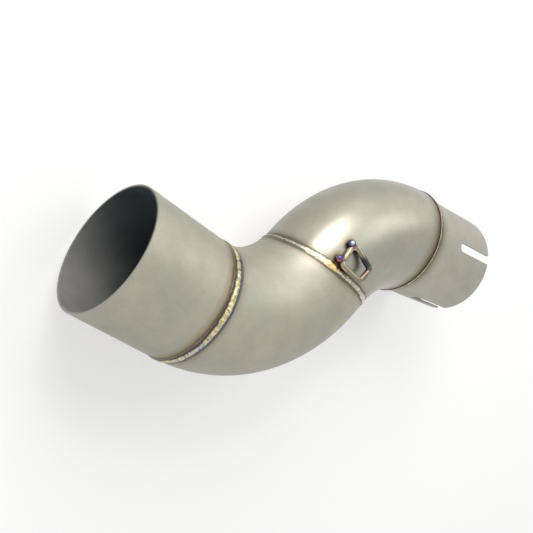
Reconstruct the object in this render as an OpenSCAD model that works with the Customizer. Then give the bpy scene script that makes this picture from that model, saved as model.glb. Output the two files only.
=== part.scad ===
// Exhaust mid pipe: an S of two welded elbows between a plain inlet tube and a slotted outlet tube.
// The centre of the inlet mouth is the origin. The inlet tube runs along +X, the S lies in the
// XY plane, and the side with the spring hook faces up.

/* [Tube] */
// Outside diameter of the inlet tube and of both elbows
pipe_od = 60; // [50:0.5:64]
// Wall thickness of every tube
wall = 1.2; // [0.8:0.1:2]
// Length of the inlet tube
inlet_length = 46; // [20:1:90]
// Length of the outlet tube outside the elbow
outlet_length = 49; // [38:1:90]
// Length of the outlet tube pushed into the elbow
outlet_seat = 5; // [3:0.5:6]
// Gap all round between the outlet tube and the elbow that it is pushed into
seat_clearance = 0.3; // [0.25:0.05:0.6]

/* [Elbows] */
// Bend radius of the front elbow, on its centreline
front_bend_r = 60; // [58:1:90]
// Angle that the front elbow turns to the left
front_bend = 75; // [45:0.5:85]
// Bend radius of the rear elbow, on its centreline
rear_bend_r = 60; // [58:1:90]
// Angle that the rear elbow turns back to the right
rear_bend = 64.5; // [45:0.5:85]
// Further turn to the left where the two elbows meet
mitre = 2; // [0:0.5:4]
// Angle by which the cut between the elbows swings past square
middle_swing = 8.5; // [0:0.5:8.5]
// Angle by which the cut at the end of the rear elbow swings back from square
outlet_swing = 3.5; // [0:0.5:5]
// Angle by which that cut leans up
outlet_lean = 4; // [0:0.5:5]

/* [Clamp slots] */
// Number of slots round the outlet
slot_count = 4; // [2:1:6]
// Width of a slot
slot_width = 5; // [3:0.5:7]
// Length of a slot, from the mouth to its round end
slot_length = 28.5; // [15:0.5:34]
// Angle of the first slot from straight up
slot_turn = -15; // [-30:1:30]

/* [Welds] */
// Width of the weld at the inlet tube
inlet_weld_width = 4; // [3:0.2:6]
// Width of the weld between the elbows
middle_weld_width = 3.6; // [3:0.2:6]
// Height of these two welds over the tube
weld_height = 0.5; // [0.4:0.1:1.4]
// Radius of the fillet weld round the outlet tube
fillet_r = 1.1; // [0.9:0.1:1.4]
// Height of the fillet weld over the elbow
fillet_proud = 0.2; // [0.1:0.1:0.5]

/* [Spring hook] */
// Diameter of the hook's rod
rod_d = 3; // [2:0.5:4]
// Length of the bar on the pipe, between the centrelines of the hook's legs
hook_width = 12.6; // [11:0.1:18]
// Length of the leg nearer the inlet
front_leg = 12.2; // [10:0.1:20]
// Angle by which this leg leans toward the inlet
front_leg_lean = 5; // [0:1:10]
// Length of the leg nearer the outlet
rear_leg = 14.2; // [10:0.1:20]
// Angle by which this leg leans toward the inlet
rear_leg_lean = 22; // [10:1:25]
// Bend radius at the hook's corners, on the rod's centreline
hook_corner_r = 2.5; // [2.2:0.1:3]
// Angle round the rear elbow from its weld to the middle of the hook
hook_station = 6; // [6:0.5:14]
// Angle from the outside of the bend up to the hook
hook_turn = 64.5; // [40:0.5:90]
// Angle by which the bar on the pipe is turned out of line with the pipe
hook_yaw = 9; // [0:1:15]
// Angle by which the hook rises from the surface that it is welded to
hook_rise = 4; // [0:1:30]
// Gap between the rod and the pipe, closed by the two tack welds
hook_gap = 0.1; // [0.05:0.05:0.3]
// Height of the centres of the tack welds over the pipe
tack_height = 1.4; // [1:0.1:1.6]
// Radius of the tack weld nearer the inlet
front_tack_r = 1.9; // [1.7:0.1:2.2]
// Distance of its centre from the foot of the leg, along the bar
front_tack_inset = 1.8; // [1:0.1:3]
// Distance of its centre from the middle of the bar, across it
front_tack_offset = 2.2; // [1.8:0.1:2.6]
// Radius of the tack weld nearer the outlet
rear_tack_r = 2.2; // [1.9:0.1:2.6]
// Distance of its centre from the foot of the leg, along the bar
rear_tack_inset = 1.1; // [1:0.1:3]
// Distance of its centre from the middle of the bar, across it
rear_tack_offset = 1.15; // [1:0.05:2]

/* [Hidden] */

pipe_r = pipe_od / 2;
outlet_r = pipe_r - wall - seat_clearance;
rod_r = rod_d / 2;
// The slanted cut is an oval, so its round weld sits between the oval's two radii
middle_weld_r = (pipe_r + pipe_r / cos(middle_swing)) / 2;
// Extra angle of elbow that the slanted cuts take off, and the size of the block that cuts it
spare = 9;
block = 3 * pipe_od;
// How far the edges of a weld lie under the surface, and how much deeper its root is
weld_dip = 0.3;
weld_root = 0.3;
// How far a bore or a slot is cut past the end of its tube
past = 1;
// How much thinner the rod's radius gets in a bend, and the extra angle of bend inside each straight side
bend_thinning = 0.04;
bend_lap = 4;

// Corners of the hook's centreline, from the foot of the leg nearer the outlet round to that leg's tip
loop_corners = [
    [hook_width / 2, 0],
    [-hook_width / 2, 0],
    [-hook_width / 2 - front_leg * sin(front_leg_lean), -front_leg * cos(front_leg_lean)],
    [hook_width / 2 - rear_leg * sin(rear_leg_lean), -rear_leg * cos(rear_leg_lean)]
];
// Side of the loop from corner i to the next, its angle, and the bend at corner i with its reach along a side
function side_run(i) = loop_corners[(i + 1) % 4] - loop_corners[i];
function side_angle(i) = atan2(side_run(i)[1], side_run(i)[0]);
function bend_angle(i) = (side_angle(i) - side_angle((i + 3) % 4) + 360) % 360;
function bend_reach(i) = hook_corner_r * tan(bend_angle(i) / 2);

module at_middle_weld() {
    translate([inlet_length, front_bend_r, 0]) rotate(front_bend) translate([0, -front_bend_r, 0]) children();
}

module at_outlet_weld() {
    at_middle_weld() rotate(mitre) translate([0, -rear_bend_r, 0]) rotate(-rear_bend)
        translate([0, rear_bend_r, 0]) children();
}

// The side of each slanted cut that lies ahead along the pipe
module ahead_of_middle_cut() {
    at_middle_weld() rotate(mitre / 2 + middle_swing) translate([0, -block / 2, -block / 2]) cube(block);
}

module outlet_cut_plane() {
    at_outlet_weld() rotate(-outlet_swing) rotate([0, -outlet_lean, 0]) children();
}

module ahead_of_outlet_cut() {
    outlet_cut_plane() translate([0, -block / 2, -block / 2]) cube(block);
}

// Tube along +X, solid when bore_r is 0
module straight(outer_r, bore_r, length) {
    rotate([0, 90, 0]) difference() {
        cylinder(h = length, r = outer_r, $fn = 160);
        if (bore_r > 0) translate([0, 0, -past]) cylinder(h = length + 2 * past, r = bore_r, $fn = 160);
    }
}

// Bend that leaves the origin along +X and turns left, solid when bore_r is 0
module bend(bend_r, angle, outer_r, bore_r) {
    translate([0, bend_r, 0]) rotate(-90) rotate_extrude(angle = angle, $fn = 240) translate([bend_r, 0])
        difference() {
            circle(r = outer_r, $fn = 120);
            if (bore_r > 0) circle(r = bore_r, $fn = 120);
        }
}

module front_bend_shape(bore_r) {
    difference() {
        translate([inlet_length, 0, 0]) bend(front_bend_r, front_bend + spare, pipe_r, bore_r);
        ahead_of_middle_cut();
    }
}

module rear_bend_shape(bore_r) {
    difference() {
        intersection() {
            at_middle_weld() rotate(mitre) mirror([0, 1, 0])
                translate([0, rear_bend_r, 0]) rotate(-spare) translate([0, -rear_bend_r, 0])
                    bend(rear_bend_r, rear_bend + 2 * spare, pipe_r, bore_r);
            ahead_of_middle_cut();
        }
        ahead_of_outlet_cut();
    }
}

function arc_radius(width, rise) = (width * width / 4 + rise * rise) / (2 * rise);

// Ring of weld round +X, a lens in section: a low arc over the tubes and a flatter one in their walls
module weld_ring(ring_r, width) {
    cap_r = arc_radius(width, weld_height + weld_dip);
    root_r = arc_radius(width, weld_root);
    rotate([0, 90, 0]) rotate_extrude($fn = 160) intersection() {
        translate([ring_r + weld_height - cap_r, 0]) circle(r = cap_r, $fn = 96);
        translate([ring_r - weld_dip - weld_root + root_r, 0]) circle(r = root_r, $fn = 192);
    }
}

module inlet_weld_shape() {
    translate([inlet_length, 0, 0]) weld_ring(pipe_r, inlet_weld_width);
}

module middle_weld_shape() {
    at_middle_weld() rotate(mitre / 2 + middle_swing) weld_ring(middle_weld_r, middle_weld_width);
}

module inlet_tube() {
    color("darkgray") difference() {
        straight(pipe_r, pipe_r - wall, inlet_length);
        inlet_weld_shape();
    }
}

module front_elbow() {
    color("silver") difference() {
        front_bend_shape(pipe_r - wall);
        inlet_weld_shape();
    }
}

module rear_elbow() {
    color("lightgray") difference() {
        rear_bend_shape(pipe_r - wall);
        middle_weld_shape();
    }
}

// One slot at the top of a tube along +X whose mouth is at x = 0
module slot() {
    cut_h = outlet_r + past;
    translate([slot_width / 2 - slot_length, 0, 0]) {
        cylinder(h = cut_h, d = slot_width, $fn = 48);
        translate([0, -slot_width / 2, 0]) cube([slot_length - slot_width / 2 + past, slot_width, cut_h]);
    }
}

module outlet_tube() {
    color("rosybrown") at_outlet_weld() difference() {
        translate([-outlet_seat, 0, 0]) straight(outlet_r, outlet_r - wall, outlet_length + outlet_seat);
        for (i = [0 : slot_count - 1])
            translate([outlet_length, 0, 0]) rotate([slot_turn + i * 360 / slot_count, 0, 0]) slot();
    }
}

module inlet_weld() {
    color("wheat") inlet_weld_shape();
}

// This weld is let into the rear elbow and lies on the front one
module middle_weld() {
    color("wheat") difference() {
        middle_weld_shape();
        front_bend_shape(0);
    }
}

module outlet_weld() {
    color("wheat") difference() {
        outlet_cut_plane() rotate([0, 90, 0]) rotate_extrude($fn = 160)
            translate([pipe_r + fillet_proud - fillet_r, 0]) circle(r = fillet_r, $fn = 48);
        rear_bend_shape(0);
        at_outlet_weld() translate([-outlet_seat, 0, 0]) straight(outlet_r, 0, outlet_length);
    }
}

// Puts its children on the rear elbow: +Z away from the surface, +X along the bar, the loop toward -Y
module at_hook() {
    at_middle_weld() rotate(mitre) translate([0, -rear_bend_r, 0]) rotate(-hook_station)
        translate([0, rear_bend_r, 0]) rotate([hook_turn - 90, 0, 0]) translate([0, 0, pipe_r])
            rotate(hook_yaw) children();
}

module in_hook_plane() {
    at_hook() translate([0, 0, rod_r + hook_gap]) rotate([-hook_rise, 0, 0]) children();
}

// Closed loop of rod. Side i runs from corner i to the next, after a bend that ends inside it
module hook_loop() {
    for (i = [0 : 3]) translate(loop_corners[i]) rotate(side_angle(i)) translate([bend_reach(i), 0, 0]) {
        translate([0, hook_corner_r, 0]) rotate(-90 - bend_angle(i) - bend_lap)
            rotate_extrude(angle = bend_angle(i) + 2 * bend_lap, $fn = 96)
                translate([hook_corner_r, 0]) circle(r = rod_r - bend_thinning, $fn = 48);
        rotate([0, 90, 0])
            cylinder(h = norm(side_run(i)) - bend_reach(i) - bend_reach((i + 1) % 4), r = rod_r, $fn = 48);
    }
}

module spring_hook() {
    color("tan") in_hook_plane() hook_loop();
}

// Blob of weld in the corner between the bar and the pipe, at x along the bar
module tack(x, offset, tack_r) {
    difference() {
        at_hook() translate([x, offset, tack_height]) sphere(r = tack_r, $fn = 48);
        rear_bend_shape(0);
        in_hook_plane() hook_loop();
    }
}

module front_hook_weld() {
    color("slateblue") tack(front_tack_inset - hook_width / 2, front_tack_offset, front_tack_r);
}

module rear_hook_weld() {
    color("slateblue") tack(hook_width / 2 - rear_tack_inset, rear_tack_offset, rear_tack_r);
}

inlet_tube();
front_elbow();
rear_elbow();
outlet_tube();
inlet_weld();
middle_weld();
outlet_weld();
spring_hook();
front_hook_weld();
rear_hook_weld();
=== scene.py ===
import math
import random

import bmesh
import bpy
from mathutils import Euler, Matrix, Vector, noise


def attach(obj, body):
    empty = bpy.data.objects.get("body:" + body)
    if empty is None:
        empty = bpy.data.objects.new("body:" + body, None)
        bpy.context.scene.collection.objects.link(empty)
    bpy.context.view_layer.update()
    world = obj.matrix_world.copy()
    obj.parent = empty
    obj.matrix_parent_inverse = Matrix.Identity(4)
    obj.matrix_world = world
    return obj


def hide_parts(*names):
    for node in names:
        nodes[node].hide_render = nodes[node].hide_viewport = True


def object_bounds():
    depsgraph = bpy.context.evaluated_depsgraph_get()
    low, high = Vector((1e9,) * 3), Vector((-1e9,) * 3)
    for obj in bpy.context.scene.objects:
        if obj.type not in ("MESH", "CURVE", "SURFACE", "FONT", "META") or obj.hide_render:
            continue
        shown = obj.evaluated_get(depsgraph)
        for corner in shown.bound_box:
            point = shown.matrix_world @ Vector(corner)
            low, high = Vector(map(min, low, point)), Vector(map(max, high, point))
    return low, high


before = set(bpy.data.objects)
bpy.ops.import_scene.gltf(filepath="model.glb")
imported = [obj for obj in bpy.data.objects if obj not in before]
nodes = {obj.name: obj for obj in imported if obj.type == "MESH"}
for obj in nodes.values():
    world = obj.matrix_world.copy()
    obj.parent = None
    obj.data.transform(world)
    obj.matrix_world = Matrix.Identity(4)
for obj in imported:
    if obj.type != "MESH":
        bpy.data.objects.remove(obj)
cad_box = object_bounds()
floor_z = min(corner[2] for corner in cad_box)

MM = 0.001

# Sizes repeated from part.scad, in metres
PIPE_R = 30 * MM
WALL = 1.2 * MM
INLET_LENGTH = 46 * MM
BEND_R = 60 * MM
OUTLET_R = 28.5 * MM
OUTLET_LENGTH = 49 * MM
FRONT_BEND = 75
MITRE = 2
MIDDLE_SWING = 8.5
REAR_BEND = 64.5
OUTLET_SWING = 3.5
OUTLET_LEAN = 4
ROD_R = 1.5 * MM
HOOK_STATION = 6
HOOK_TURN = 64.5
HOOK_YAW = 9
HOOK_WIDTH = 12.6 * MM
TACK_HEIGHT = 1.4 * MM


def heading(degrees):
    return Vector((math.cos(math.radians(degrees)), math.sin(math.radians(degrees)), 0))


def left_of(degrees):
    return heading(degrees + 90)


UP = Vector((0, 0, 1))
MITRED = FRONT_BEND + MITRE
OUT = MITRED - REAR_BEND
FRONT_CENTRE = Vector((INLET_LENGTH, BEND_R, 0))
MIDDLE = FRONT_CENTRE - BEND_R * left_of(FRONT_BEND)
REAR_CENTRE = MIDDLE - BEND_R * left_of(MITRED)
OUTLET = REAR_CENTRE + BEND_R * left_of(OUT)

INLET_SEAM = (Vector((INLET_LENGTH, 0, 0)), heading(0))
MIDDLE_SEAM = (MIDDLE, heading(FRONT_BEND + MITRE / 2 + MIDDLE_SWING))
lean = math.radians(OUTLET_LEAN)
OUTLET_SEAM = (OUTLET, heading(OUT - OUTLET_SWING) * math.cos(lean) + UP * math.sin(lean))


def from_bend(point, centre):
    """Distance from the centreline of a bend, and the direction away from it."""
    flat = Vector((point.x - centre.x, point.y - centre.y, 0))
    away = point - centre - flat.normalized() * BEND_R
    return away.length, away.normalized()


def from_line(point, start, along):
    away = point - start
    away -= along * away.dot(along)
    return away.length, away.normalized()


def surface_hit(origin, ray, gap):
    """Goes out along a ray from inside the pipe until gap(point) is zero."""
    near, far = 20 * MM, 40 * MM
    for _ in range(40):
        mid = (near + far) / 2
        if gap(origin + ray * mid) < 0:
            near = mid
        else:
            far = mid
    return origin + ray * near


class Graph:
    """Short ways to add nodes to a material or the world."""

    def __init__(self, tree):
        self.tree = tree

    def node(self, kind, **settings):
        made = self.tree.nodes.new(kind)
        for key, value in settings.items():
            setattr(made, key, value)
        return made

    def put(self, socket, value):
        if isinstance(value, bpy.types.NodeSocket):
            self.tree.links.new(value, socket)
        elif value is not None:
            socket.default_value = value

    def math(self, operation, a, b=None, c=None, clamp=False):
        made = self.node("ShaderNodeMath", operation=operation, use_clamp=clamp)
        for socket, value in zip(made.inputs, (a, b, c)):
            self.put(socket, value)
        return made.outputs[0]

    def vector(self, operation, a, b=None):
        made = self.node("ShaderNodeVectorMath", operation=operation)
        self.put(made.inputs[0], a)
        self.put(made.inputs[1], b)
        return made.outputs["Value" if operation in ("DOT_PRODUCT", "LENGTH", "DISTANCE") else "Vector"]

    def scaled(self, start, low, high, to_low=0.0, to_high=1.0):
        made = self.node("ShaderNodeMapRange", interpolation_type="SMOOTHSTEP")
        for socket, value in zip(made.inputs, (start, low, high, to_low, to_high)):
            self.put(socket, value)
        return made.outputs[0]

    def noise(self, place, scale, detail=2.0, roughness=0.5, distortion=0.0):
        made = self.node("ShaderNodeTexNoise")
        self.put(made.inputs["Vector"], place)
        for key, value in (("Scale", scale), ("Detail", detail), ("Roughness", roughness), ("Distortion", distortion)):
            made.inputs[key].default_value = value
        return made.outputs["Fac"]

    def ramp(self, factor, stops):
        made = self.node("ShaderNodeValToRGB")
        elements = made.color_ramp.elements
        while len(elements) < len(stops):
            elements.new(0.5)
        for element, (position, colour) in zip(elements, stops):
            element.position = position
            element.color = (*colour, 1)
        self.put(made.inputs["Fac"], factor)
        return made.outputs["Color"]

    def mix(self, factor, a, b, blend="MIX"):
        made = self.node("ShaderNodeMix", data_type="RGBA", blend_type=blend)
        self.put(made.inputs["Factor"], factor)
        for key, value in (("A", a), ("B", b)):
            socket = [s for s in made.inputs if s.name == key and s.type == "RGBA"][0]
            self.put(socket, (*value, 1) if isinstance(value, tuple) else value)
        return [s for s in made.outputs if s.type == "RGBA"][0]

    def bump(self, height, distance, strength=1.0):
        made = self.node("ShaderNodeBump")
        made.inputs["Strength"].default_value = strength
        made.inputs["Distance"].default_value = distance
        self.put(made.inputs["Height"], height)
        return made.outputs["Normal"]


def new_material(name):
    material = bpy.data.materials.new(name)
    material.use_nodes = True
    graph = Graph(material.node_tree)
    shader = material.node_tree.nodes["Principled BSDF"]
    shader.inputs["Metallic"].default_value = 1.0
    place = graph.node("ShaderNodeTexCoord").outputs["Object"]
    return material, graph, shader, place


def line_radius(graph, place, start, along):
    away = graph.vector("SUBTRACT", place, tuple(start))
    across = graph.vector("CROSS_PRODUCT", away, tuple(along))
    return graph.vector("LENGTH", across)


def bend_radius(graph, place, centre):
    away = graph.vector("SUBTRACT", place, tuple(centre))
    flat = graph.vector("LENGTH", graph.vector("MULTIPLY", away, (1, 1, 0)))
    height = graph.vector("DOT_PRODUCT", away, (0, 0, 1))
    ring = graph.math("SUBTRACT", flat, BEND_R)
    return graph.math("SQRT", graph.math("ADD", graph.math("MULTIPLY", ring, ring), graph.math("MULTIPLY", height, height)))


def seam_distance(graph, place, seam):
    """Signed distance in millimetres from a weld's plane, positive toward the outlet."""
    away = graph.vector("SUBTRACT", place, tuple(seam[0]))
    return graph.math("MULTIPLY", graph.vector("DOT_PRODUCT", away, tuple(seam[1])), 1 / MM)


TINT_REACH = 12.0


def weld_side_tint(graph, colour, place, seam, side, stops):
    """Darkens and colours the steel on one side of a weld, with stops in millimetres from it."""
    ahead = graph.math("MULTIPLY", seam_distance(graph, place, seam), side)
    drift = graph.math("SUBTRACT", graph.noise(place, 90, 3), 0.5)
    distance = graph.math("ADD", ahead, graph.math("MULTIPLY", drift, 2.2))
    factor = graph.math("DIVIDE", distance, TINT_REACH, clamp=True)
    tint = graph.ramp(factor, [(mm / TINT_REACH, shade) for mm, shade in stops])
    return graph.mix(1.0, colour, tint, "MULTIPLY")


WHITE = (1, 1, 1)
BROWN_HAZE = [(0, (0.12, 0.09, 0.07)), (1.9, (0.16, 0.12, 0.09)), (2.5, (0.38, 0.3, 0.21)), (3.7, (0.78, 0.7, 0.58)), (6.8, WHITE)]
BLUE_HAZE = [(0, (0.1, 0.1, 0.14)), (1.9, (0.12, 0.12, 0.19)), (2.5, (0.38, 0.34, 0.33)), (3.6, (0.82, 0.76, 0.66)), (6.5, WHITE)]
FAINT_HAZE = [(0, (0.3, 0.27, 0.24)), (1.9, (0.42, 0.38, 0.34)), (2.6, (0.8, 0.76, 0.7)), (5, WHITE)]
# Heat tint on the rear elbow by the outlet weld; on the outlet tube the same band is painted shade in the step below
# the elbow's end.
RIM_HAZE_AND_SHADE = [(0, (0.2, 0.18, 0.14)), (1.3, (0.26, 0.23, 0.17)), (2.8, (0.45, 0.4, 0.32)), (4.8, (0.78, 0.73, 0.65)), (8.5, WHITE)]


def steel(name, radius, inner_r, tone, roughness, tints, tacked=False):
    """Satin steel, clouded and grained, with heat tints by the welds and painted shade on the outlet tube by its weld,
    and a dull sooty bore inside inner_r with painted light and painted shade.
    """
    material, graph, shader, place = new_material(name)
    shader.inputs["Specular IOR Level"].default_value = 0.15
    cloud = graph.noise(place, 34, 3, 0.55)
    cool = tuple(c * f for c, f in zip(tone, (0.93, 0.965, 0.97)))
    colour = graph.mix(graph.scaled(cloud, 0.35, 0.65), tone, cool)
    blotch = graph.scaled(graph.noise(place, 110, 4, 0.6), 0.3, 0.75, 0.95, 1.04)
    grain = graph.scaled(graph.noise(place, 2400, 2), 0.3, 0.7, 0.95, 1.05)
    level = graph.math("MULTIPLY", blotch, grain)
    colour = graph.mix(1.0, colour, graph.vector("MULTIPLY", level, (1, 1, 1)), "MULTIPLY")
    for seam, side, stops in tints:
        colour = weld_side_tint(graph, colour, place, seam, side, stops)
    if tacked:
        colour = graph.mix(1.0, colour, tack_halo(graph, place), "MULTIPLY")
    inside = graph.math("LESS_THAN", radius(graph, place), inner_r + WALL / 2)
    soot_and_painted_light = graph.ramp(graph.noise(place, 60, 4), [(0.3, (0.17, 0.172, 0.17)), (0.7, (0.24, 0.235, 0.225))])
    # Painted light in the bore: lighter at the inlet's lip on the -Y side, painted shade deeper in, and painted light
    # again near the outlet's end.
    depth = graph.vector("DOT_PRODUCT", place, (0.6, 1, 0))
    bore_painted_light = graph.mix(graph.scaled(depth, -0.02, 0.03), (1.7, 1.68, 1.62), (0.46, 0.53, 0.58))
    outlet_painted_light = graph.scaled(graph.vector("DOT_PRODUCT", place, tuple(heading(OUT))), 0.15, 0.18)
    bore_painted_light = graph.mix(outlet_painted_light, bore_painted_light, (2.0, 2.0, 1.9))
    soot_and_painted_light = graph.mix(1.0, soot_and_painted_light, bore_painted_light, "MULTIPLY")
    colour = graph.mix(inside, colour, soot_and_painted_light)
    graph.put(shader.inputs["Base Color"], colour)
    graph.put(shader.inputs["Metallic"], graph.math("MULTIPLY_ADD", inside, -0.8, 1.0))
    rough = graph.math("ADD", graph.scaled(cloud, 0.3, 0.7, -0.04, 0.05), roughness)
    graph.put(shader.inputs["Roughness"], graph.math("MULTIPLY_ADD", inside, 0.2, rough))
    height = graph.math("ADD", graph.noise(place, 2400, 2), graph.math("MULTIPLY", graph.noise(place, 45, 2), 6.0))
    graph.put(shader.inputs["Normal"], graph.bump(height, 0.00002, 0.5))
    return material


def dress(node, material):
    obj = nodes[node]
    obj.data.materials.clear()
    obj.data.materials.append(material)


def hook_frame():
    """A point on the elbow under the hook's bar, and the directions away, along the bar and over it."""
    at = MITRED - HOOK_STATION
    turn, yaw = math.radians(HOOK_TURN), math.radians(HOOK_YAW)
    away = left_of(at) * math.cos(turn) + UP * math.sin(turn)
    ahead = heading(at)
    aside = away.cross(ahead)
    along = ahead * math.cos(yaw) + aside * math.sin(yaw)
    return REAR_CENTRE + BEND_R * left_of(at) + away * PIPE_R, away, along, away.cross(along)


HOOK_POINT, HOOK_AWAY, HOOK_ALONG, HOOK_OVER = hook_frame()


def tack_place(along, over):
    return HOOK_POINT + HOOK_ALONG * along + HOOK_OVER * over + HOOK_AWAY * TACK_HEIGHT


FRONT_TACK = tack_place(1.8 * MM - HOOK_WIDTH / 2, 2.2 * MM)
REAR_TACK = tack_place(HOOK_WIDTH / 2 - 1.1 * MM, 1.15 * MM)


def tack_distance(graph, place):
    """Distance in millimetres from the nearer of the two tack welds."""
    reach = [graph.vector("DISTANCE", place, tuple(tack)) for tack in (FRONT_TACK, REAR_TACK)]
    return graph.math("MULTIPLY", graph.math("MINIMUM", *reach), 1 / MM)


def tack_halo(graph, place):
    """Heat colours on the elbow round the tack welds and under the hook's bar."""
    drift = graph.math("MULTIPLY", graph.math("SUBTRACT", graph.noise(place, 260, 3), 0.5), 2.0)
    reach = graph.math("DIVIDE", graph.math("ADD", tack_distance(graph, place), drift), 10.0, clamp=True)
    return graph.ramp(reach, [
        (0.0, (0.1, 0.07, 0.08)), (0.2, (0.2, 0.16, 0.13)), (0.27, (0.62, 0.53, 0.4)), (0.36, (0.92, 0.85, 0.7)),
        (0.52, WHITE)])


TONE = (0.408, 0.385, 0.32)
REAR_TONE = (0.355, 0.337, 0.282)
ORIGIN = Vector((0, 0, 0))

dress("inlet_tube", steel(
    "blasted_steel_inlet", lambda g, p: line_radius(g, p, ORIGIN, heading(0)), PIPE_R - WALL, TONE, 0.5,
    [(INLET_SEAM, -1, BROWN_HAZE)]))
dress("front_elbow", steel(
    "blasted_steel_front", lambda g, p: bend_radius(g, p, FRONT_CENTRE), PIPE_R - WALL, TONE, 0.5,
    [(INLET_SEAM, 1, BLUE_HAZE), (MIDDLE_SEAM, -1, FAINT_HAZE)]))
dress("rear_elbow", steel(
    "blasted_steel_rear", lambda g, p: bend_radius(g, p, REAR_CENTRE), PIPE_R - WALL, REAR_TONE, 0.33,
    [(MIDDLE_SEAM, 1, FAINT_HAZE), (OUTLET_SEAM, -1, RIM_HAZE_AND_SHADE)], tacked=True))
# The dark band on the outlet tube next to its weld is painted shade.
dress("outlet_tube", steel(
    "blasted_steel_outlet", lambda g, p: line_radius(g, p, OUTLET, heading(OUT)), OUTLET_R - WALL,
    (0.4, 0.372, 0.315), 0.42, [(OUTLET_SEAM, 1, RIM_HAZE_AND_SHADE)]))


def bead_material(name, dull, bright, span, toe_back, toe_front, gilded=False):
    """Weld metal that goes from dull to bright over a span of swell, with heat colours at both toes,
    and golden near the tack welds if gilded."""
    material, graph, shader, place = new_material(name)
    read = {key: graph.node("ShaderNodeAttribute", attribute_name=key).outputs["Fac"]
            for key in ("edge", "side", "lump", "swell")}
    core = graph.mix(graph.scaled(read["swell"], *span), dull, bright)
    # The core is paler on the ripple crests and darker in the troughs: painted shade in the ripples.
    ripple_shade = graph.mix(graph.scaled(read["lump"], 0.1, 0.9), (0.74, 0.71, 0.64), (1.0, 1.0, 0.98))
    core = graph.mix(1.0, core, ripple_shade, "MULTIPLY")
    patch = graph.ramp(graph.noise(place, 620, 4, 0.7), [(0.36, (0.3, 0.31, 0.34)), (0.47, (0.8, 0.79, 0.76)), (0.6, WHITE)])
    core = graph.mix(0.85, core, patch, "MULTIPLY")
    if gilded:
        core = graph.mix(graph.scaled(tack_distance(graph, place), 9, 4), core, (0.74, 0.5, 0.2))
    toe = graph.mix(graph.scaled(read["side"], -0.2, 0.2), toe_back, toe_front)
    shoulder = tuple(c * f for c, f in zip(TONE, (0.5, 0.42, 0.35)))
    wander = graph.math("MULTIPLY", graph.math("SUBTRACT", graph.noise(place, 600, 3), 0.5), 0.5)
    edge = graph.math("ADD", read["edge"], wander)
    colour = graph.mix(graph.scaled(edge, -0.5, -0.05), core, toe)
    colour = graph.mix(graph.scaled(edge, 0.6, 1.5), colour, shoulder)
    graph.put(shader.inputs["Base Color"], colour)
    graph.put(shader.inputs["Roughness"], graph.scaled(graph.noise(place, 700, 2), 0.3, 0.7, 0.24, 0.46))
    graph.put(shader.inputs["Normal"], graph.bump(graph.noise(place, 1500, 3), 0.00006, 0.7))
    return material


def ring_bead(name, node, stations, seat, half, core, height, pitch, seed, material, swell):
    """Closed bead of weld along a loop. stations(turn) gives a point on the seam and the direction
    along the pipe, and seat(point) the place on the steel below a point and the way out from it. The
    raised core covers the share of the width that core and swell(turn) give, and flat shoulders lie
    beside it. Its ripples overlap like fish scales."""
    rng = random.Random(seed)
    count = 2200
    top = 22
    turns = [2 * math.pi * i / count for i in range(count)]
    frames = [stations(turn) for turn in turns]
    steps = [(frames[(i + 1) % count][0] - frames[i][0]).length for i in range(count)]
    total = sum(steps)
    ripples = round(total / pitch)
    edges = [0.0]
    for _ in range(ripples):
        edges.append(edges[-1] + rng.uniform(0.5, 1.5))
    edges = [e / edges[-1] * total for e in edges]
    rise = [rng.uniform(0.35, 1.0) for _ in range(ripples)]
    shift = [rng.uniform(-0.07, 0.07) for _ in range(ripples)]

    def scale(distance):
        distance %= total
        low, high = 0, ripples
        while high - low > 1:
            mid = (low + high) // 2
            if edges[mid] <= distance:
                low = mid
            else:
                high = mid
        return low, (distance - edges[low]) / (edges[low + 1] - edges[low])

    mesh = bmesh.new()
    layers = {key: mesh.verts.layers.float.new(key) for key in ("edge", "side", "lump", "swell")}
    rings = []
    distance = 0.0
    for i in range(count):
        point, along = frames[i]
        swollen = swell(turns[i]) * (1 + 0.18 * noise.noise(point * 300) + 0.1 * noise.noise(point * 900))
        low, part = scale(distance)
        drift = noise.noise(point * 240) * 0.1 + shift[low] * math.sin(math.pi * part)
        share = core * swollen
        ring = []
        for j in range(top + 1):
            u = math.cos(math.pi * j / top)
            base, away = seat(point + along * half * u)
            t = min(1.0, abs(u - drift) / share)
            low_u, part_u = scale(distance + 0.4 * pitch * t * t)
            crest = math.sin(math.pi * part_u ** 0.6) * rise[low_u]
            body = (1 - t ** 2.2) ** 0.8
            grit = 0.3 * noise.noise(base * 900) + 0.2 * noise.noise(base * 2300)
            v = height * (0.4 + 0.6 * swollen) * body * (0.84 + 0.14 * crest + grit)
            v += (0.04 if j not in (0, top) else -0.08) * MM
            vert = mesh.verts.new(base + away * v)
            vert[layers["edge"]] = (abs(u - drift) - share) * half / MM
            vert[layers["side"]] = u
            vert[layers["lump"]] = crest
            vert[layers["swell"]] = swollen
            ring.append(vert)
        for u in (-0.9, 0.9):
            base, away = seat(point + along * half * u)
            ring.append(mesh.verts.new(base - away * 0.3 * MM))
        rings.append(ring)
        distance += steps[i]
    for i in range(count):
        a, b = rings[i], rings[(i + 1) % count]
        for j in range(len(a)):
            k = (j + 1) % len(a)
            mesh.faces.new((a[j], a[k], b[k], b[j]))
    bmesh.ops.recalc_face_normals(mesh, faces=mesh.faces)
    data = bpy.data.meshes.new(name)
    mesh.to_mesh(data)
    mesh.free()
    data.polygons.foreach_set("use_smooth", [True] * len(data.polygons))
    data.materials.append(material)
    obj = bpy.data.objects.new(name, data)
    bpy.context.scene.collection.objects.link(obj)
    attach(obj, "root")
    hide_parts(node)
    return obj


def plane_axes(normal):
    side = UP.cross(normal).normalized()
    return side, normal.cross(side)


def on_bend(point, centre):
    length, away = from_bend(point, centre)
    return point + away * (PIPE_R - length), away


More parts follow.
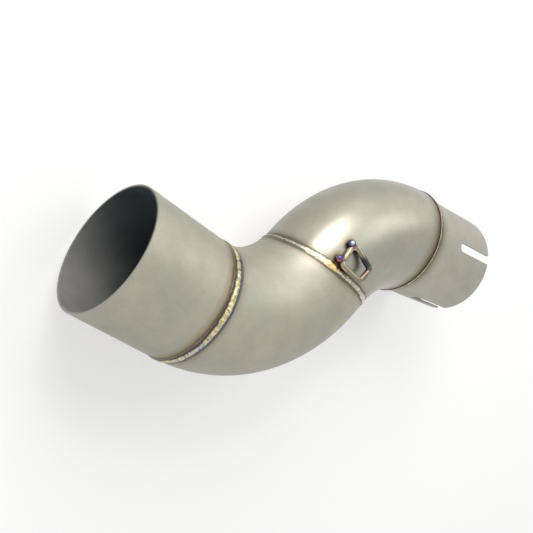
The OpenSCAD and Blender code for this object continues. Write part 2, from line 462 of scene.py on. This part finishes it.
def on_line(point, start, along, radius):
    length, away = from_line(point, start, along)
    return point + away * (radius - length), away


# The first bead lies a little toward the elbow
INLET_BEAD = INLET_SEAM[0] + heading(0) * 0.8 * MM


def inlet_station(angle):
    return INLET_BEAD + Vector((0, math.cos(angle), math.sin(angle))) * PIPE_R, heading(0)


def inlet_seat(point):
    if point.x < INLET_LENGTH:
        return on_line(point, INLET_SEAM[0], heading(0), PIPE_R)
    return on_bend(point, FRONT_CENTRE)


def middle_station(angle):
    side, top = plane_axes(MIDDLE_SEAM[1])
    ray = side * math.cos(angle) + top * math.sin(angle)
    front = surface_hit(MIDDLE, ray, lambda p: from_bend(p, FRONT_CENTRE)[0] - PIPE_R)
    rear = surface_hit(MIDDLE, ray, lambda p: from_bend(p, REAR_CENTRE)[0] - PIPE_R)
    away = (from_bend(front, FRONT_CENTRE)[1] + from_bend(rear, REAR_CENTRE)[1]).normalized()
    loop = MIDDLE_SEAM[1].cross(ray)
    return (front + rear) / 2, away.cross(loop).normalized()


def middle_seat(point):
    ahead = (point - MIDDLE).dot(MIDDLE_SEAM[1])
    blend = min(1.0, max(0.0, ahead / (0.8 * MM) + 0.5))
    front, front_away = on_bend(point, FRONT_CENTRE)
    rear, rear_away = on_bend(point, REAR_CENTRE)
    return front.lerp(rear, blend), front_away.lerp(rear_away, blend).normalized()


def outlet_station(angle):
    side, top = plane_axes(OUTLET_SEAM[1])
    ray = side * math.cos(angle) + top * math.sin(angle)
    rim = surface_hit(OUTLET, ray, lambda p: from_bend(p, REAR_CENTRE)[0] - PIPE_R)
    away = from_line(rim, OUTLET, heading(OUT))[1]
    return rim - away * 0.4 * MM - OUTLET_SEAM[1] * 0.15 * MM, corner_axes(away)[1]


def corner_axes(away):
    """The way out of the corner at the outlet, and the way across its weld."""
    corner = (away + OUTLET_SEAM[1]).normalized()
    return corner, (OUTLET_SEAM[1] - corner * corner.dot(OUTLET_SEAM[1])).normalized()


def outlet_seat(point):
    return point, corner_axes(from_line(point, OUTLET, heading(OUT))[1])[0]


def hump(angle, middle, width):
    """1 at the middle angle and falling to 0 within about the width, all in degrees."""
    off = (math.degrees(angle) - middle + 180) % 360 - 180
    return math.exp(-(off / width) ** 2)


def inlet_swell(angle):
    return 0.78 + 0.2 * hump(angle, 75, 50) + 0.06 * math.sin(5 * angle)


def middle_swell(angle):
    return 0.5 + 0.5 * hump(angle, 52, 20) + 0.28 * hump(angle, 118, 22) + 0.3 * hump(angle, 230, 60)


def outlet_swell(angle):
    return 0.9 + 0.08 * math.sin(3 * angle)


straw = bead_material(
    "weld_straw", (0.6, 0.61, 0.58), (0.84, 0.74, 0.44), (0.74, 0.96), (0.08, 0.07, 0.065), (0.1, 0.11, 0.16))
cream = bead_material(
    "weld_cream", (0.6, 0.6, 0.54), (1.0, 0.95, 0.74), (0.5, 0.85), (0.15, 0.13, 0.105), (0.14, 0.12, 0.1), True)
rim = bead_material(
    "weld_rim", (0.66, 0.63, 0.54), (0.8, 0.77, 0.68), (0.45, 0.95), (0.26, 0.22, 0.17), (0.26, 0.21, 0.16))

ring_bead("inlet_bead", "inlet_weld", inlet_station, inlet_seat, 3.0 * MM, 0.53, 0.55 * MM, 1.5 * MM, 11, straw,
          inlet_swell)
ring_bead("middle_bead", "middle_weld", middle_station, middle_seat, 2.3 * MM, 0.8, 0.55 * MM, 1.4 * MM, 12, cream,
          middle_swell)
ring_bead("outlet_bead", "outlet_weld", outlet_station, outlet_seat, 1.2 * MM, 0.8, 0.6 * MM, 1.0 * MM, 13, rim,
          outlet_swell)


# The rear corner of the free bar, and a place on the leg before it where the rod is darkened to near black
TIP = Vector((104.37, 54.16, 34.87)) * MM
DARK_SPOT = Vector((101.8, 55.8, 33.3)) * MM


def hook_material():
    """Rod browned by heat, with painted light by its height over the pipe: a painted highlight palest on top of the
    bar, painted shade where it faces the pipe, and darkened to near black at one spot on the leg.
    """
    material, graph, shader, place = new_material("hook_steel")
    wander = graph.math("MULTIPLY", graph.math("SUBTRACT", graph.noise(place, 420, 3), 0.5), 1.6)
    height = graph.math("SUBTRACT", bend_radius(graph, place, REAR_CENTRE), PIPE_R)
    height = graph.math("MULTIPLY_ADD", height, 1 / MM, wander)
    # By height over the pipe: painted shade where the rod faces the pipe and a painted highlight band along the top of
    # the bar.
    near = graph.ramp(graph.math("DIVIDE", height, 4.0, clamp=True), [
        (0.12, (0.06, 0.048, 0.035)), (0.5, (0.11, 0.09, 0.06)), (0.68, (0.62, 0.5, 0.34)), (0.8, (0.27, 0.24, 0.17)),
        (1.0, (0.24, 0.22, 0.17))])
    toward_tip = graph.math("MULTIPLY", graph.vector("DISTANCE", place, tuple(TIP)), 1 / MM)
    brown = graph.ramp(graph.noise(place, 700, 4, 0.7), [(0.38, (0.1, 0.065, 0.05)), (0.62, (0.34, 0.26, 0.2))])
    colour = graph.mix(graph.scaled(graph.math("ADD", toward_tip, wander), 8.5, 5.5), near, brown)
    dark_spot_distance = graph.math("MULTIPLY", graph.vector("DISTANCE", place, tuple(DARK_SPOT)), 1 / MM)
    colour = graph.mix(graph.scaled(graph.math("ADD", dark_spot_distance, wander), 5.2, 1.6), colour, (0.045, 0.045, 0.06))
    heat = graph.math("ADD", tack_distance(graph, place), wander)
    colour = graph.mix(graph.scaled(heat, 3.4, 2.4), colour, (0.13, 0.08, 0.09))
    graph.put(shader.inputs["Base Color"], colour)
    graph.put(shader.inputs["Roughness"], graph.scaled(graph.noise(place, 350, 3), 0.3, 0.7, 0.14, 0.36))
    graph.put(shader.inputs["Normal"], graph.bump(graph.noise(place, 520, 3), 0.0002, 0.8))
    return material


def tack_material(name, centre, stops):
    """Weld blob coloured in rings from its crown to its foot: heat films, with a painted highlight at the crown of the
    rear tack.
    """
    material, graph, shader, place = new_material(name)
    out = graph.vector("NORMALIZE", graph.vector("SUBTRACT", place, tuple(centre)))
    crown = (HOOK_AWAY * 0.9 + HOOK_OVER * 0.25).normalized()
    film = graph.math("MULTIPLY_ADD", graph.noise(place, 700, 2), 0.5, graph.vector("DOT_PRODUCT", out, tuple(crown)))
    graph.put(shader.inputs["Base Color"], graph.ramp(graph.scaled(film, 0.1, 1.25), stops))
    shader.inputs["Roughness"].default_value = 0.24
    graph.put(shader.inputs["Normal"], graph.bump(graph.noise(place, 900, 2), 0.00008, 0.5))
    return material


dress("spring_hook", hook_material())
dress("front_hook_weld", tack_material("tack_purple", FRONT_TACK, [
    (0.0, (0.05, 0.035, 0.03)), (0.42, (0.2, 0.11, 0.06)), (0.64, (0.85, 0.38, 0.14)), (0.76, (0.5, 0.1, 0.14)),
    (0.86, (0.16, 0.05, 0.3)), (0.95, (0.08, 0.06, 0.24)), (1.0, (0.1, 0.12, 0.22))]))
# The pale blue-white crown of the rear tack is a painted highlight; the dark violet rings round it are heat films.
dress("rear_hook_weld", tack_material("tack_violet", REAR_TACK, [
    (0.0, (0.05, 0.035, 0.04)), (0.5, (0.09, 0.06, 0.075)), (0.82, (0.1, 0.06, 0.11)), (0.92, (0.14, 0.14, 0.22)),
    (0.98, (0.26, 0.29, 0.38)), (1.0, (0.4, 0.44, 0.54))]))


# The floor, the world and the lamps
def backdrop_shader(graph, plain, output, level):
    """Adds a glow of a given level for the camera and for mirrors to the plain shader."""
    path = graph.node("ShaderNodeLightPath")
    seen = graph.math("MAXIMUM", path.outputs["Is Camera Ray"], path.outputs["Is Glossy Ray"])
    seen = graph.math("MAXIMUM", seen, path.outputs["Is Transmission Ray"])
    glow = graph.node("ShaderNodeEmission")
    graph.put(glow.inputs["Color"], (1, 1, 1, 1))
    graph.put(glow.inputs["Strength"], graph.math("MULTIPLY", seen, level))
    add = graph.node("ShaderNodeAddShader")
    graph.put(add.inputs[0], plain)
    graph.put(add.inputs[1], glow.outputs[0])
    graph.put(output, add.outputs[0])


bpy.ops.mesh.primitive_plane_add(size=12, location=(0, 0, floor_z))
floor = bpy.context.object
floor.name = "floor"
material = bpy.data.materials.new("pale_floor")
material.use_nodes = True
graph = Graph(material.node_tree)
shader = material.node_tree.nodes["Principled BSDF"]
shader.inputs["Base Color"].default_value = (0.8, 0.8, 0.8, 1)
shader.inputs["Roughness"].default_value = 0.9
shader.inputs["Specular IOR Level"].default_value = 0.1
from_middle = graph.vector("LENGTH", graph.node("ShaderNodeTexCoord").outputs["Object"])
backdrop_shader(graph, shader.outputs[0], material.node_tree.nodes["Material Output"].inputs["Surface"],
                graph.scaled(from_middle, 0.4, 1.5, 0.46, 0.68))
floor.data.materials.append(material)

world = bpy.data.worlds.new("studio")
world.use_nodes = True
bpy.context.scene.world = world
graph = Graph(world.node_tree)
path = graph.node("ShaderNodeLightPath")
seen = graph.math("MAXIMUM", path.outputs["Is Camera Ray"], path.outputs["Is Glossy Ray"])
seen = graph.math("MAXIMUM", seen, path.outputs["Is Transmission Ray"])
background = world.node_tree.nodes["Background"]
background.inputs["Color"].default_value = (1, 1, 1, 1)
graph.put(background.inputs["Strength"], graph.scaled(seen, 0, 1, 0.4, 1.0))


def lamp(name, azimuth, elevation, distance, size, power, colour=WHITE):
    """A square soft lamp that looks at the middle of the part from a direction in the row frame."""
    target = Vector((0.1, 0.045, 0))
    direction = heading(azimuth) * math.cos(math.radians(elevation)) + UP * math.sin(math.radians(elevation))
    data = bpy.data.lights.new(name, "AREA")
    data.shape = "SQUARE"
    data.size = size
    data.energy = power
    data.color = colour
    obj = bpy.data.objects.new(name, data)
    obj.location = target + direction * distance
    obj.rotation_euler = direction.to_track_quat("Z", "Y").to_euler()
    bpy.context.scene.collection.objects.link(obj)


lamp("key", 133, 30, 0.9, 0.46, 3.0)
lamp("sky", 100, 15, 1.4, 2.6, 11, (1, 0.985, 0.95))
lamp("top", 76, 43, 1.1, 0.45, 1.0, (1, 0.97, 0.9))

data = bpy.data.cameras.new("camera")
camera = bpy.data.objects.new("camera", data)
camera.location = (-0.128536, -0.016173, 0.257547)
camera.rotation_euler = Euler([math.radians(a) for a in (-13.41066, -39.42903, 38.42016)], "XYZ")
data.sensor_width = 36
data.lens = 36 * 689.515 / 533
data.shift_x = (266.5 - 300) / 533
data.shift_y = (240 - 266.5) / 533
data.clip_start = 0.01
bpy.context.scene.collection.objects.link(camera)
bpy.context.scene.camera = camera
bpy.context.scene.view_settings.view_transform = "Standard"
